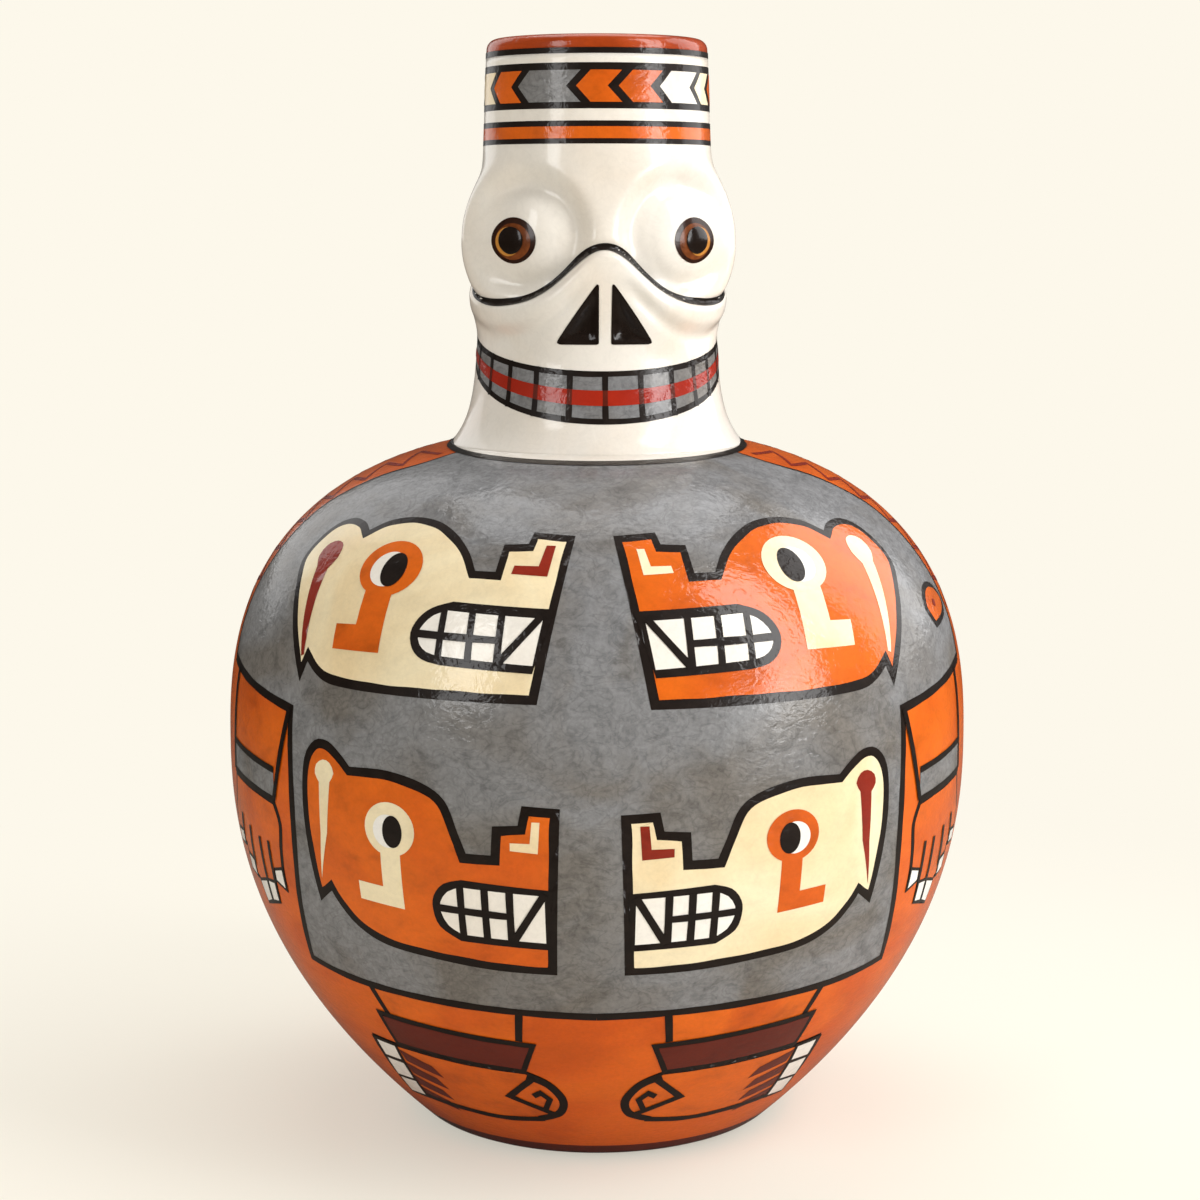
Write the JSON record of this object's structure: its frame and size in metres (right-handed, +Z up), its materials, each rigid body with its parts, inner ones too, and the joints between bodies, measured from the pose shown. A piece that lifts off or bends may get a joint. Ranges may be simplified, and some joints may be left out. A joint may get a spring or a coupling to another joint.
{
  "type": "face-neck effigy jar",
  "caption": "Coil-built globular ceramic jar with a flat base and a wide neck modelled as a skull-like face; holds liquid or grain.",
  "frame": {"origin": "centre of the flat base, on the surface that the jar stands on", "axes": "+Z up along the jar's axis, the face towards -Y, +X to the viewer's right"},
  "size_m": [0.207, 0.207, 0.3],
  "materials": {
    "red_slip_clay": "burnished slip",
    "white_slip_clay": "burnished slip",
    "brown_slip_clay": "burnished slip",
    "black_slip_clay": "burnished slip"
  },
  "bodies": {
    "root": {"base_pat": "red_slip_clay", "body_coil_1": "red_slip_clay", "body_coil_2": "red_slip_clay", "body_coil_3": "red_slip_clay", "body_coil_4": "red_slip_clay", "body_coil_5": "red_slip_clay", "body_coil_6": "red_slip_clay", "body_coil_7": "red_slip_clay", "body_coil_8": "red_slip_clay", "body_coil_9": "red_slip_clay", "collar_coil": "white_slip_clay", "head_coil_1": "white_slip_clay", "head_coil_2": "white_slip_clay", "head_coil_3": "white_slip_clay", "headband_coil": "white_slip_clay", "rim_lip": "red_slip_clay", "muzzle": "white_slip_clay", "left_eye_socket": "white_slip_clay", "left_eyeball": "white_slip_clay", "left_iris": "brown_slip_clay", "left_pupil": "black_slip_clay", "right_eye_socket": "white_slip_clay", "right_eyeball": "white_slip_clay", "right_iris": "brown_slip_clay", "right_pupil": "black_slip_clay"}
  },
  "joints": []
}
